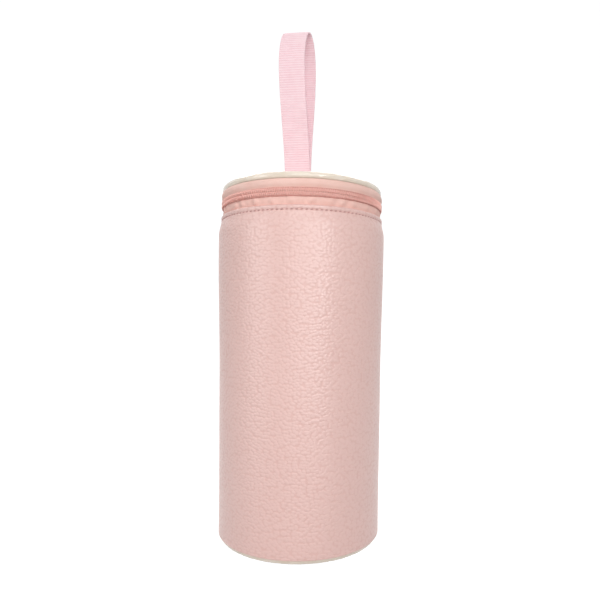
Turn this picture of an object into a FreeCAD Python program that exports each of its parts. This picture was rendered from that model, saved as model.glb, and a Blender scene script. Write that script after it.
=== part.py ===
"""Insulated carry bag for a baby bottle: a zipped cylinder of grained leather, foam and foil lining.

Millimetres, +Z up, +Y to the back where the lid hinges. The origin is the centre of the base, on the ground.
Each function makes one separate piece of the bag; the last section writes one file per piece.
"""
import FreeCAD
import Part

import math
import os

from FreeCAD import Vector

UP = Vector(0, 0, 1)
CENTRE = Vector(0, 0, 0)
FULL_TURN = 360.0
BACK = 90.0  # polar angle of the hinge, counted from +X

# Sheet and fit sizes
LEATHER = 0.8
FOAM = 4.3
LINING = 0.4
BINDING = 0.45
FIT = 0.1  # clearance between pieces that are sewn or laid together

# Pocket and wall
POCKET_RADIUS = 40.0
HEM_TOP = 178.9  # height of the folded leather edge
HEM_FOLD = 10.0  # how far the leather is turned in
HEM_TUCK = 0.1  # how far the zip draws the hem in from the wall
BASE_TUCK = 0.3
SHOULDER_BULGE = 1.3
SHOULDER_DROP = 10.0  # height of the widest place below the hem
SHOULDER_RUN = 8.5  # height over which the shoulder closes to the hem
WALL_FOOT = 2.6  # height of the leather's lower edge
RIM_WRAP = 8.0  # depth of the binding tape over the inner rim

# Piping at the base and the lid
PIPING_RADIUS = 2.0
PIPING_CORD = 1.3
PIPING_SET_IN = 0.9  # base piping's outer edge inside the leather's outer face
GROUND_GAP = 0.1  # base piping above the ground

# Base
BASE_FOAM = 3.7

# Zip
TAPE = 0.6
TAPE_TUCK = 9.0  # tape sewn behind the hem
TAPE_SHOW = 4.4  # tape seen between the hem and the coil
LID_TAPE_SHOW = 4.2  # tape seen between the coil and the lid seam
TAPE_FLARE = 0.7
TAPE_FLARE_RISE = 2.2
COIL_HEIGHT = 1.8
COIL_DEPTH = 1.0
COIL_LAP = 1.5  # how far the tape runs behind the coil
CHAIN_GAP = 0.6
HINGE_HALF_ANGLE = 27.0
HINGE_SET_IN = 3.0  # hinge axis inside the zip's radius
PANEL_GAP = 0.4  # degrees between the hinge panel and the zip's ends
LID_BULGE = 1.0
LID_SIDE_TUCK = 1.0  # how far the lid's side wall draws in under its piping

# Lid
LID_PIPING_SET_IN = 0.4  # lid piping's outer edge inside the lid's side wall
LID_CROWN = 2.0
LID_FOAM = 4.2
LID_BINDING_WIDTH = 2.1
LID_BINDING_HEIGHT = 2.8
LID_LINING_REACH = 1.6

# Strap
STRAP_WIDTH = 16.5
WEBBING = 1.3
LEG_GAP = 0.1
STRAP_HEIGHT = 108.0
LOOP_HALF_GAP = 7.8  # from the loop's middle to each leg's middle
LOOP_FOOT = 15.0  # height up to which the loop's legs lie together
STRAP_LEAN = 4.0  # how far forward the top of the loop leans
STRAP_SIDE_LEAN = 1.4  # how far to the left it leans
CROWN_RISE = 22.0  # height of the loop's rounded top
LOOP_TURN = -33.0  # degrees by which the loop opens sideways
FACE_TURN = -14.0  # degrees by which the webbing's face is turned
TWIST_RISE = 30.0
STRAP_PIVOT_RISE = 1.45  # strap's bending line above the piping
TAIL_DEPTH = 6.4
TAIL_GAP = 0.15
LEG_STEPS = 14
BEND_STEPS = 16

# Slider and pull
SLIDER_ANGLE = 50.0
SLIDER_HALF_LENGTH = 5.3  # degrees
SLIDER_HALF_HEIGHT = 3.4
SLIDER_INNER_RISE = 2.0  # inner plate above the chain's middle
SLIDER_PLATE = 1.0
SLIDER_OUTER_GAP = 1.45
SLIDER_INNER_GAP = 0.7
SLIDER_FLANGE = 0.6
FLANGE_REACH = 1.0
NECK_LENGTH = 2.5  # degrees
NECK_FIT = 0.1
BAIL_BAR_RADIUS = 0.6
BAIL_RISE = 2.2
BAIL_SPAN = 4.4
BAIL_POST = 1.0
EYE_FIT = 0.08
EYE_WALL = 0.67
EYE_LENGTH = 2.8
PULL_WIDTH = 4.6
PULL_LENGTH = 21.0
PULL_THICKNESS = 1.0
PULL_NECK = 2.4
PULL_HOLE_RADIUS = 1.0

# Sizes worked out from those above
FOAM_INNER = POCKET_RADIUS + LINING + FIT
WALL_RADIUS = FOAM_INNER + FOAM + FIT + LEATHER
BASE_RADIUS = WALL_RADIUS - BASE_TUCK
HEM_RADIUS = WALL_RADIUS - HEM_TUCK
HEM_INNER = HEM_RADIUS - 2 * LEATHER
TAPE_OUTER = HEM_INNER - FIT
RIM_FOAM_OUTER = TAPE_OUTER - TAPE - FIT
ZIP_TAPE_RADIUS = TAPE_OUTER + TAPE_FLARE
COIL_INNER = ZIP_TAPE_RADIUS + FIT
COIL_OUTER = COIL_INNER + COIL_DEPTH
COIL_FOOT = HEM_TOP + TAPE_SHOW
ZIP_HEIGHT = COIL_FOOT + COIL_HEIGHT + CHAIN_GAP / 2
COIL_HEAD = ZIP_HEIGHT + CHAIN_GAP / 2 + COIL_HEIGHT
LID_SEAM = COIL_HEAD + LID_TAPE_SHOW
LID_WALL_RADIUS = ZIP_TAPE_RADIUS + LID_BULGE
LID_PIPING_CENTRE = LID_WALL_RADIUS - LID_PIPING_SET_IN - PIPING_RADIUS
LID_PIPING_HEIGHT = LID_SEAM + PIPING_RADIUS
LID_TOP = LID_PIPING_HEIGHT + PIPING_RADIUS
LID_RADIUS = LID_PIPING_CENTRE - PIPING_RADIUS - FIT
LID_EDGE = LID_SEAM + LEATHER
LID_FOAM_FOOT = LID_SEAM - LID_FOAM + LEATHER
BASE_PIPING_CENTRE = BASE_RADIUS - PIPING_SET_IN - PIPING_RADIUS
BASE_PIPING_HEIGHT = PIPING_RADIUS + GROUND_GAP
BASE_COVER_RADIUS = BASE_PIPING_CENTRE - PIPING_RADIUS - FIT
WALL_FOAM_FOOT = BASE_PIPING_HEIGHT + PIPING_RADIUS + FIT
BASE_FOAM_FOOT = LEATHER + FIT
POCKET_FLOOR = BASE_FOAM_FOOT + BASE_FOAM + FIT + LINING
ZIP_START = BACK + HINGE_HALF_ANGLE
ZIP_SWEEP = FULL_TURN - 2 * HINGE_HALF_ANGLE
HINGE_Y = ZIP_TAPE_RADIUS - HINGE_SET_IN
STRAP_STACK = 2 * WEBBING + LEG_GAP
TACK_RADIUS = STRAP_STACK / 2 - LEG_GAP / 2
STRAP_SLOT_HALF = STRAP_WIDTH / 2 + FIT
STRAP_BACK = math.sqrt(LID_RADIUS**2 - STRAP_SLOT_HALF**2) - FIT
STRAP_Y = STRAP_BACK - STRAP_STACK / 2
STRAP_PIVOT = LID_TOP + STRAP_PIVOT_RISE
BAIL_RADIUS = COIL_OUTER + SLIDER_OUTER_GAP + SLIDER_PLATE + BAIL_RISE


def revolved(edges, start=0.0, sweep=FULL_TURN):
    """A solid from a closed outline of edges in the XZ plane, turned about Z."""
    face = Part.Face(Part.Wire(edges))
    solid = face.revolve(CENTRE, UP, sweep)
    solid.rotate(CENTRE, UP, start)
    return solid


def at(radius, height):
    """A point of an outline, by its radius and height."""
    return Vector(radius, 0, height)


def lines(*points):
    """Straight edges from point to point."""
    return [Part.makeLine(a, b) for a, b in zip(points, points[1:])]


def ring(inner, outer, low, high, start=0.0, sweep=FULL_TURN):
    """A plain ring, or a sector of one."""
    corners = [at(inner, low), at(outer, low), at(outer, high), at(inner, high), at(inner, low)]
    return revolved(lines(*corners), start, sweep)


def disc(radius, low, high):
    """A plain round plate."""
    return Part.makeCylinder(radius, high - low, Vector(0, 0, low))


def band(outer_points, thickness, start, sweep):
    """A sheet of even thickness behind an outline of its outer face."""
    inner_points = [point - Vector(thickness, 0, 0) for point in reversed(outer_points)]
    return revolved(lines(*outer_points, *inner_points, outer_points[0]), start, sweep)


def block(half_width, near, far, low, high):
    """A box that is centred on X and runs from near to far in Y."""
    corner = Vector(-half_width, near, low)
    return Part.makeBox(2 * half_width, far - near, high - low, corner)


def wall_curve(inset, foot):
    """The wall's side outline, from foot up to the hem, upright at each of its four stations."""
    stations = [
        at(BASE_RADIUS - inset, foot),
        at(WALL_RADIUS - inset, HEM_TOP / 2),
        at(WALL_RADIUS + SHOULDER_BULGE - inset, HEM_TOP - SHOULDER_DROP),
        at(HEM_RADIUS - inset, HEM_TOP - SHOULDER_DROP + SHOULDER_RUN),
    ]
    curve = Part.BSplineCurve()
    curve.interpolate(Points=stations, Tangents=[UP] * 4, TangentFlags=[True] * 4)
    return curve.toShape()


def leather_shell():
    """The outer wall: a leather tube with its top edge folded in double."""
    fold_edge = HEM_TOP - LEATHER
    outer = wall_curve(0, WALL_FOOT)
    inner = wall_curve(LEATHER, WALL_FOOT)
    shoulder = HEM_TOP - SHOULDER_DROP + SHOULDER_RUN
    fold = Part.Arc(at(HEM_RADIUS, fold_edge), at(HEM_RADIUS - LEATHER, HEM_TOP), at(HEM_INNER, fold_edge))
    edges = [outer]
    edges += lines(at(HEM_RADIUS, shoulder), at(HEM_RADIUS, fold_edge))
    edges.append(fold.toShape())
    edges += lines(at(HEM_INNER, fold_edge), at(HEM_INNER, shoulder), at(HEM_RADIUS - LEATHER, shoulder))
    edges.append(inner)
    edges += lines(at(BASE_RADIUS - LEATHER, WALL_FOOT), at(BASE_RADIUS, WALL_FOOT))
    shell = revolved(edges)
    return shell.fuse(hem_lap(HEM_TOP - HEM_FOLD, shoulder)).removeSplitter()


def hem_lap(low, high):
    """The turned-in part of the hem, below the place where the wall starts to bulge."""
    lap = ring(HEM_INNER, WALL_RADIUS + SHOULDER_BULGE, low, high)
    return lap.common(revolved(wall_outline(0)))


def wall_outline(inset):
    """A closed outline from the axis to the wall's side, used to cut rings to the wall's shape."""
    shoulder = HEM_TOP - SHOULDER_DROP + SHOULDER_RUN
    top = at(HEM_RADIUS - inset, shoulder)
    foot = at(BASE_RADIUS - inset, WALL_FOOT)
    return [wall_curve(inset, WALL_FOOT)] + lines(top, at(0, shoulder), at(0, WALL_FOOT), foot)


def wall_foam():
    """The foam tube, thinned at the rim where the hem and the zip tape lie outside it."""
    rim_foot = HEM_TOP - HEM_FOLD - FIT
    tongue_foot = HEM_TOP - RIM_WRAP - FIT
    rim_top = HEM_TOP - BINDING - FIT
    core = revolved(wall_outline(LEATHER + FIT))
    wall = core.common(ring(FOAM_INNER, WALL_RADIUS + SHOULDER_BULGE, WALL_FOAM_FOOT, rim_foot))
    rim = ring(FOAM_INNER, RIM_FOAM_OUTER, rim_foot, tongue_foot)
    tongue_inner = POCKET_RADIUS + BINDING + FIT
    tongue_outer = RIM_FOAM_OUTER - BINDING - FIT
    tongue = ring(tongue_inner, tongue_outer, tongue_foot, rim_top)
    return wall.fuse([rim, tongue]).removeSplitter()


def wall_lining():
    """The foil tube that lines the pocket, up to the rim's binding tape."""
    return ring(POCKET_RADIUS, POCKET_RADIUS + LINING, POCKET_FLOOR + FIT, HEM_TOP - RIM_WRAP - FIT)


def rim_binding():
    """The tape folded over the raw inner rim of foam and lining."""
    whole = ring(POCKET_RADIUS, RIM_FOAM_OUTER, HEM_TOP - RIM_WRAP, HEM_TOP)
    slot = ring(POCKET_RADIUS + BINDING, RIM_FOAM_OUTER - BINDING, HEM_TOP - RIM_WRAP, HEM_TOP - BINDING)
    return whole.cut(slot)


def piping_cover(centre_radius, height):
    """A glossy welt rolled round a cord: a hollow ring of round section."""
    skin = Part.makeTorus(centre_radius, PIPING_RADIUS, Vector(0, 0, height))
    return skin.cut(Part.makeTorus(centre_radius, PIPING_CORD, Vector(0, 0, height)))


def piping_cord(centre_radius, height):
    """The cord inside a welt."""
    return Part.makeTorus(centre_radius, PIPING_CORD - FIT, Vector(0, 0, height))


def lower_tape():
    """The zip tape on the body, sewn behind the hem and flared out to the coil."""
    outer = [
        at(TAPE_OUTER, HEM_TOP - TAPE_TUCK),
        at(TAPE_OUTER, HEM_TOP),
        at(ZIP_TAPE_RADIUS, HEM_TOP + TAPE_FLARE_RISE),
        at(ZIP_TAPE_RADIUS, COIL_FOOT + COIL_LAP),
    ]
    return band(outer, TAPE, ZIP_START, ZIP_SWEEP)


def upper_tape():
    """The zip tape on the lid: the lid's short side wall."""
    outer = [
        at(ZIP_TAPE_RADIUS, COIL_HEAD - COIL_LAP),
        at(ZIP_TAPE_RADIUS, COIL_HEAD + FIT),
        at(LID_WALL_RADIUS, (COIL_HEAD + LID_SEAM) / 2),
        at(LID_WALL_RADIUS - LID_SIDE_TUCK, LID_SEAM - FIT),
    ]
    return band(outer, TAPE, ZIP_START, ZIP_SWEEP)


def zip_coil(foot):
    """One half of the closed zip chain, as its plain outer form."""
    return ring(COIL_INNER, COIL_OUTER, foot, foot + COIL_HEIGHT, ZIP_START, ZIP_SWEEP)


def hinge_panel():
    """The soft panel behind, where the zip stops and the lid bends."""
    outer = [
        at(TAPE_OUTER, HEM_TOP - TAPE_TUCK),
        at(TAPE_OUTER, HEM_TOP),
        at(ZIP_TAPE_RADIUS, COIL_FOOT),
        at(LID_WALL_RADIUS, (COIL_HEAD + LID_SEAM) / 2),
        at(LID_WALL_RADIUS - LID_SIDE_TUCK, LID_SEAM - FIT),
    ]
    half = HINGE_HALF_ANGLE - PANEL_GAP
    return band(outer, TAPE, BACK - half, 2 * half)


def crown_arc(radius, edge, crown):
    """A shallow arc from the axis to the edge of a crowned disc."""
    middle = radius / 2
    rise = crown * (1 - (middle / radius) ** 2)
    return Part.Arc(at(0, edge + crown), at(middle, edge + rise), at(radius, edge)).toShape()


def crowned_disc(radius, low, edge, low_crown):
    """A disc with a crowned top, and a bottom that is flat or crowned alike."""
    edges = [crown_arc(radius, edge, LID_CROWN)]
    edges += lines(at(radius, edge), at(radius, low))
    if low_crown:
        edges.append(crown_arc(radius, low, LID_CROWN))
    else:
        edges += lines(at(radius, low), at(0, low))
    edges += lines(at(0, low + low_crown), at(0, edge + LID_CROWN))
    return revolved(edges)


def strap_slot():
    """The notch at the back of the lid where the strap's ends are sewn in."""
    return block(STRAP_SLOT_HALF, STRAP_Y - STRAP_STACK / 2 - FIT, LID_WALL_RADIUS, LID_FOAM_FOOT, LID_TOP)


def lid_cover():
    """The crowned leather top."""
    return crowned_disc(LID_RADIUS, LID_EDGE, LID_EDGE + LEATHER, LID_CROWN).cut(strap_slot())


def lid_foam():
    """The foam pad in the lid."""
    return crowned_disc(LID_RADIUS, LID_FOAM_FOOT, LID_EDGE - FIT, 0).cut(strap_slot())


def lid_binding():
    """The tape over the lid's inner seam."""
    inner = LID_RADIUS + FIT
    low = LID_SEAM - FIT - LID_BINDING_HEIGHT
    return ring(inner, inner + LID_BINDING_WIDTH, low, LID_SEAM - FIT)


def lid_lining():
    """The foil disc under the lid's pad."""
    top = min(LID_FOAM_FOOT, LID_SEAM - FIT - LID_BINDING_HEIGHT) - FIT
    return disc(LID_RADIUS + LID_LINING_REACH, top - LINING, top)


def eased(share):
    """A smooth step from 0 to 1."""
    share = max(0.0, min(1.0, share))
    return share * share * (3 - 2 * share)


def strap_line():
    """Stations along the loop's middle line, up the near leg and down the far one: offset and height."""
    start = (WEBBING + LEG_GAP) / 2
    bend_foot = STRAP_HEIGHT - CROWN_RISE
    leg = []
    for step in range(LEG_STEPS):
        height = bend_foot * step / LEG_STEPS
        opened = eased((height - LOOP_FOOT) / (bend_foot - LOOP_FOOT))
        leg.append((start + (LOOP_HALF_GAP - start) * opened, height))
    bend = []
    for step in range(BEND_STEPS + 1):
        turn = math.pi * step / BEND_STEPS
        bend.append((-LOOP_HALF_GAP * math.cos(turn), bend_foot + CROWN_RISE * math.sin(turn)))
    near = [(-offset, height) for offset, height in leg]
    far = list(reversed(leg))
    return near + bend + far


def strap_section(before, here, after):
    """A webbing section at one station. The loop opens along deep, and the webbing lies along across."""
    share = eased(here[1] / TWIST_RISE)
    loop_turn = math.radians(LOOP_TURN) * share
    face_turn = math.radians(FACE_TURN) * share
    deep = Vector(-math.sin(loop_turn), math.cos(loop_turn), 0)
    across = Vector(math.cos(face_turn), math.sin(face_turn), 0)
    along = deep * (after[0] - before[0]) + UP * (after[1] - before[1])
    face = along.cross(across).normalize()
    lean = Vector(STRAP_SIDE_LEAN, STRAP_LEAN, 0) * eased(here[1] / STRAP_HEIGHT)
    middle = Vector(0, STRAP_Y, STRAP_PIVOT) - lean + deep * here[0] + UP * here[1]
    side = across * (STRAP_WIDTH / 2)
    skin = face * (WEBBING / 2)
    corners = [middle - side - skin, middle + side - skin, middle + side + skin, middle - side + skin]
    return Part.makePolygon(corners + corners[:1])


def strap_loop():
    """The webbing loop, its two legs stacked and tacked together at the bending line."""
    line = strap_line()
    first = (line[0][0], line[0][1] - 1)
    last = (line[-1][0], line[-1][1] - 1)
    padded = [first] + line + [last]
    sections = [strap_section(*padded[i : i + 3]) for i in range(len(line))]
    loop = Part.makeLoft(sections, True, True)
    tack_length = STRAP_WIDTH - 2 * FIT
    tack_end = Vector(-tack_length / 2, STRAP_Y, STRAP_PIVOT)
    tack = Part.makeCylinder(TACK_RADIUS, tack_length, tack_end, Vector(1, 0, 0))
    return loop.fuse(tack)


def strap_tails():
    """The strap's two ends, stacked and sewn into the lid's back seam."""
    top = STRAP_PIVOT - TACK_RADIUS - TAIL_GAP
    low = LID_TOP - TAIL_DEPTH
    return block(STRAP_WIDTH / 2, STRAP_Y - STRAP_STACK / 2, STRAP_Y + STRAP_STACK / 2, low, top)


def turned_to_slider(shape):
    """Turns a piece that was made across the +Y axis to where the slider is parked."""
    shape.rotate(CENTRE, UP, SLIDER_ANGLE - BACK)
    return shape


def slider_sector(inner, outer, low, high, offset=0.0, half=SLIDER_HALF_LENGTH):
    """A curved plate of the slider, by radius and by height from the middle of the chain."""
    return ring(inner, outer, ZIP_HEIGHT + low, ZIP_HEIGHT + high, BACK + offset - half, 2 * half)


def slider_body():
    """The slider: two plates that straddle the coils, joined by a neck through the chain."""
    outer_face = COIL_OUTER + SLIDER_OUTER_GAP
    inner_face = ZIP_TAPE_RADIUS - TAPE - SLIDER_INNER_GAP
    tall = SLIDER_HALF_HEIGHT
    neck_half = CHAIN_GAP / 2 - NECK_FIT
    outer_plate = slider_sector(outer_face, outer_face + SLIDER_PLATE, -tall, tall)
    inner_plate = slider_sector(inner_face - SLIDER_PLATE, inner_face, -tall, SLIDER_INNER_RISE)
    flange = slider_sector(outer_face - FLANGE_REACH, outer_face, -tall, SLIDER_FLANGE - tall)
    neck_offset = NECK_LENGTH / 2 - SLIDER_HALF_LENGTH
    neck = slider_sector(inner_face, outer_face, -neck_half, neck_half, neck_offset, NECK_LENGTH / 2)
    return turned_to_slider(outer_plate.fuse([inner_plate, flange, neck]).removeSplitter())


def slider_bail():
    """The bridge on the slider: a bar on two posts that the pull hangs from."""
    plate_face = COIL_OUTER + SLIDER_OUTER_GAP + SLIDER_PLATE
    start = Vector(-BAIL_SPAN / 2 - BAIL_POST / 2, BAIL_RADIUS, ZIP_HEIGHT)
    bar = Part.makeCylinder(BAIL_BAR_RADIUS, BAIL_SPAN + BAIL_POST, start, Vector(1, 0, 0))
    low = ZIP_HEIGHT - BAIL_BAR_RADIUS
    high = ZIP_HEIGHT + BAIL_BAR_RADIUS
    posts = []
    for side in (-1, 1):
        post = block(BAIL_POST / 2, plate_face, BAIL_RADIUS, low, high)
        post.translate(Vector(side * BAIL_SPAN / 2, 0, 0))
        posts.append(post)
    return turned_to_slider(bar.fuse(posts).removeSplitter())


def pull_tab():
    """The pull: a flat tab with a rolled eye, hanging on the bail."""
    bore = BAIL_BAR_RADIUS + EYE_FIT
    axis_start = Vector(-EYE_LENGTH / 2, BAIL_RADIUS, ZIP_HEIGHT)
    eye = Part.makeCylinder(bore + EYE_WALL, EYE_LENGTH, axis_start, Vector(1, 0, 0))
    near = BAIL_RADIUS - PULL_THICKNESS / 2
    far = BAIL_RADIUS + PULL_THICKNESS / 2
    round_height = ZIP_HEIGHT - PULL_LENGTH + PULL_WIDTH / 2
    neck = block(EYE_LENGTH / 2, near, far, ZIP_HEIGHT - PULL_NECK, ZIP_HEIGHT)
    tab = block(PULL_WIDTH / 2, near, far, round_height, ZIP_HEIGHT - PULL_NECK)
    end_centre = Vector(0, near, round_height)
    end = Part.makeCylinder(PULL_WIDTH / 2, PULL_THICKNESS, end_centre, Vector(0, 1, 0))
    hole = Part.makeCylinder(PULL_HOLE_RADIUS, PULL_THICKNESS, end_centre, Vector(0, 1, 0))
    pin_hole = Part.makeCylinder(bore, EYE_LENGTH, axis_start, Vector(1, 0, 0))
    whole = eye.fuse([neck, tab, end]).removeSplitter()
    return turned_to_slider(whole.cut(hole).cut(pin_hole))


PIECES = {
    "leather_shell": leather_shell(),
    "wall_foam": wall_foam(),
    "wall_lining": wall_lining(),
    "rim_binding": rim_binding(),
    "base_cover": disc(BASE_COVER_RADIUS, 0, LEATHER),
    "base_foam": disc(FOAM_INNER - FIT, BASE_FOAM_FOOT, BASE_FOAM_FOOT + BASE_FOAM),
    "base_lining": disc(POCKET_RADIUS + LINING, POCKET_FLOOR - LINING, POCKET_FLOOR),
    "base_piping": piping_cover(BASE_PIPING_CENTRE, BASE_PIPING_HEIGHT),
    "base_piping_cord": piping_cord(BASE_PIPING_CENTRE, BASE_PIPING_HEIGHT),
    "lower_zip_tape": lower_tape(),
    "lower_zip_coil": zip_coil(COIL_FOOT),
    "hinge_panel": hinge_panel(),
    "upper_zip_tape": upper_tape(),
    "upper_zip_coil": zip_coil(COIL_HEAD - COIL_HEIGHT),
    "lid_cover": lid_cover(),
    "lid_foam": lid_foam(),
    "lid_lining": lid_lining(),
    "lid_seam_binding": lid_binding(),
    "lid_piping": piping_cover(LID_PIPING_CENTRE, LID_PIPING_HEIGHT),
    "lid_piping_cord": piping_cord(LID_PIPING_CENTRE, LID_PIPING_HEIGHT),
    "strap_tails": strap_tails(),
    "strap_loop": strap_loop(),
    "slider_body": slider_body(),
    "slider_bail": slider_bail(),
    "pull_tab": pull_tab(),
}

os.makedirs("parts", exist_ok=True)
for name, shape in PIECES.items():
    shape.exportStep(f"parts/{name}.step")
    print(f"{name}: solids {len(shape.Solids)}, volume {shape.Volume:.1f}, valid {shape.isValid()}")

print(f"hinge axis y {HINGE_Y:.3f} z {ZIP_HEIGHT:.3f}")
print(f"strap axis y {STRAP_Y:.3f} z {STRAP_PIVOT:.3f}")
print(f"bail radius {BAIL_RADIUS:.3f}, wall radius {WALL_RADIUS:.2f}, lid top {LID_TOP:.2f}")
print(f"pocket floor {POCKET_FLOOR:.2f}, lid piping radius {LID_PIPING_CENTRE:.2f}")
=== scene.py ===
# %% [markdown]
# # A zipped, insulated bag for a baby bottle
# The bag is a soft leather tube with a foil-lined foam wall, a zipped lid and a webbing loop.
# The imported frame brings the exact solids, their bodies and their joints.
# Every soft solid is replaced below by a surface with the form and finish of the real material.
# All shapes are worked out in millimetres, in the frame of the solids: +Z up, the lid's hinge at +Y.

import math

import bmesh
import bpy
import numpy as np
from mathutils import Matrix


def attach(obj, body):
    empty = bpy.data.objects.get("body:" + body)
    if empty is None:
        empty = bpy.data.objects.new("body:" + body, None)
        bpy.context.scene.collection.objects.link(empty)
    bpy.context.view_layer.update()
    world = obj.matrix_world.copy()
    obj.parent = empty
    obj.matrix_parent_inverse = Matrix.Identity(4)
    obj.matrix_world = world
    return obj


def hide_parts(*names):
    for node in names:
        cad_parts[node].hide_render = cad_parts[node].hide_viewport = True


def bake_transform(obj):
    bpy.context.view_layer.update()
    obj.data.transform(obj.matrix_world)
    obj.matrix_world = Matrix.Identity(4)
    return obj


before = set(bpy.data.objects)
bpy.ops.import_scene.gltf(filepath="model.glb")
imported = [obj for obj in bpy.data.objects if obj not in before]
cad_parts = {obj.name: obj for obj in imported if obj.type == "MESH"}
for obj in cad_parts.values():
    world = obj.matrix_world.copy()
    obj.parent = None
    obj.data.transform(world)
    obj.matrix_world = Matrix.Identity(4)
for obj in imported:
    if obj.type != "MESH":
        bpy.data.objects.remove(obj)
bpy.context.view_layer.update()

# %% [markdown]
# ## Sizes
# These repeat the driving sizes of the solids, so each surface lies where its solid is.
# A maker would read them off a pattern sheet: the sheets, the pocket, the hem, the zip and the strap.

# %% Driving sizes in millimetres
MM = 0.001
FIT = 0.1
LEATHER, FOAM, LINING, BINDING, TAPE, WEBBING = 0.8, 4.3, 0.4, 0.45, 0.6, 1.3
POCKET, POCKET_FLOOR, RIM_WRAP = 40.0, 5.1, 8.0
WALL_FOOT, BASE_TUCK, SHOULDER_BULGE, SHOULDER_DROP = 2.6, 0.3, 1.3, 10.0
HEM_TOP, HEM_TUCK, HEM_FOLD, STITCH_DROP = 178.9, 0.1, 10.0, 2.4
TAPE_TUCK, TAPE_FLARE, ZIP_Z = 9.0, 0.7, 185.4
PIPING, BASE_PIPING_SET_IN, LID_PIPING_SET_IN = 2.0, 0.9, 0.4
LID_SEAM, LID_BULGE, LID_CROWN = 191.7, 1.0, 2.0
BACK, PANEL_HALF, HINGE_SET_IN = math.pi / 2, math.radians(27.0), 3.0
STRAP_WIDTH, LEG_GAP, STRAP_PIVOT_RISE = 16.5, 0.1, 1.45
print(f"hem {HEM_TOP} mm, zip {ZIP_Z} mm and lid seam {LID_SEAM} mm above the ground")

# %% Sizes worked out from them
WALL_R = POCKET + LINING + FIT + FOAM + FIT + LEATHER
BASE_R, HEM_R = WALL_R - BASE_TUCK, WALL_R - HEM_TUCK
STITCH_Z = HEM_TOP - STITCH_DROP
TAPE_R = HEM_R - 2 * LEATHER - FIT
ZIP_R = TAPE_R + TAPE_FLARE
LID_WALL_R = ZIP_R + LID_BULGE
LID_PIPING_R, LID_PIPING_Z = LID_WALL_R - LID_PIPING_SET_IN - PIPING, LID_SEAM + PIPING
LID_RADIUS = LID_PIPING_R - PIPING - FIT
BASE_PIPING_R, BASE_PIPING_Z = BASE_R - BASE_PIPING_SET_IN - PIPING, PIPING + FIT
STRAP_STACK = 2 * WEBBING + LEG_GAP
STRAP_BACK = math.sqrt(LID_RADIUS**2 - (STRAP_WIDTH / 2 + FIT) ** 2) - FIT
STRAP_Y, STRAP_PIVOT = STRAP_BACK - STRAP_STACK / 2, LID_PIPING_Z + PIPING + STRAP_PIVOT_RISE
print(f"wall radius {WALL_R:.1f} mm, strap pivot {STRAP_PIVOT:.2f} mm above the ground")

# %% [markdown]
# ## Turning grids into pieces
# Almost every piece here is a sheet: a side outline carried round the bag, or along the strap.
# Blender's Screw and Curve tools could make them, but not with seams and puckers in their surfaces.
# So each sheet is a grid of points that a formula gives. One helper joins the grid into quads and stores
# how many millimetres lie along it in each direction. Weaves and grain read those millimetres.


# %% Grid helpers
def signed_volume(points, faces):
    """Sum of the tetrahedra from the origin to each half of each quad: negative if it is inside out."""
    a, b, c, d = (points[faces[:, k]] for k in range(4))
    return (np.cross(a, b) * c).sum() + (np.cross(a, c) * d).sum()


def grid_faces(rows, cols, loop_rows, loop_cols):
    """Quads between neighbouring rows and columns; a looped direction joins its last line to its first."""
    index = np.arange(rows * cols).reshape(rows, cols)
    if loop_rows:
        index = np.vstack([index, index[:1]])
    if loop_cols:
        index = np.hstack([index, index[:, :1]])
    return np.stack([index[:-1, :-1], index[:-1, 1:], index[1:, 1:], index[1:, :-1]], -1)


def running_length(steps):
    """Millimetres from the first line of a grid to each of its lines."""
    return np.concatenate([[0.0], np.cumsum(steps)])


def grid_lengths(points, loop_rows, loop_cols):
    """Millimetres along rows and columns, from the longest step between neighbouring lines."""
    down = np.diff(np.vstack([points, points[:1]]) if loop_rows else points, axis=0)
    over = np.diff(np.hstack([points, points[:, :1]]) if loop_cols else points, axis=1)
    row_steps = np.linalg.norm(down, axis=2).max(axis=1)
    col_steps = np.linalg.norm(over, axis=2).max(axis=0)
    return running_length(row_steps), running_length(col_steps)


def store_surface_map(mesh, uv):
    """Writes the millimetre map to the corners of the quads; the corners of end caps stay at zero."""
    layer = mesh.uv_layers.new(name="along_mm")
    values = np.zeros((len(mesh.loops), 2), np.float32)
    values[: len(uv) * 4] = uv.reshape(-1, 2)
    layer.data.foreach_set("uv", values.ravel())


def close_poles(mesh):
    """Merges points that fall together, such as a disc's centre."""
    work = bmesh.new()
    work.from_mesh(mesh)
    bmesh.ops.remove_doubles(work, verts=work.verts, dist=1e-7)
    work.to_mesh(mesh)
    work.free()


def mesh_object(name, points, faces):
    """A smooth object in the scene, from points in millimetres and lists of corners."""
    mesh = bpy.data.meshes.new(name)
    mesh.from_pydata(points * MM, [], faces)
    mesh.shade_smooth()
    obj = bpy.data.objects.new(name, mesh)
    bpy.context.scene.collection.objects.link(obj)
    return obj


def piece(name, points, loop_rows=False, loop_cols=False, caps=False):
    """An object from a grid of points, facing outwards, with a map of the millimetres along the sheet."""
    rows, cols = points.shape[:2]
    faces = grid_faces(rows, cols, loop_rows, loop_cols)
    v, u = grid_lengths(points, loop_rows, loop_cols)
    high, wide = faces.shape[:2]
    corner_u = np.stack([u[:-1], u[1:], u[1:], u[:-1]], -1)[None].repeat(high, 0)
    corner_v = np.stack([v[:-1], v[:-1], v[1:], v[1:]], -1)[:, None].repeat(wide, 1)
    uv = np.stack([corner_u, corner_v], -1).reshape(-1, 4, 2)
    faces = faces.reshape(-1, 4)
    flat = points.reshape(-1, 3)
    inside_out = signed_volume(flat, faces) < 0
    if inside_out:
        faces, uv = faces[:, ::-1], uv[:, ::-1]
    ends = []
    if caps:
        first, last = np.arange(rows) * cols, np.arange(rows) * cols + cols - 1
        ends = [first[::-1], last] if inside_out else [first, last[::-1]]
    obj = mesh_object(name, flat, faces.tolist() + [end.tolist() for end in ends])
    store_surface_map(obj.data, uv)
    close_poles(obj.data)
    return obj


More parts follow.
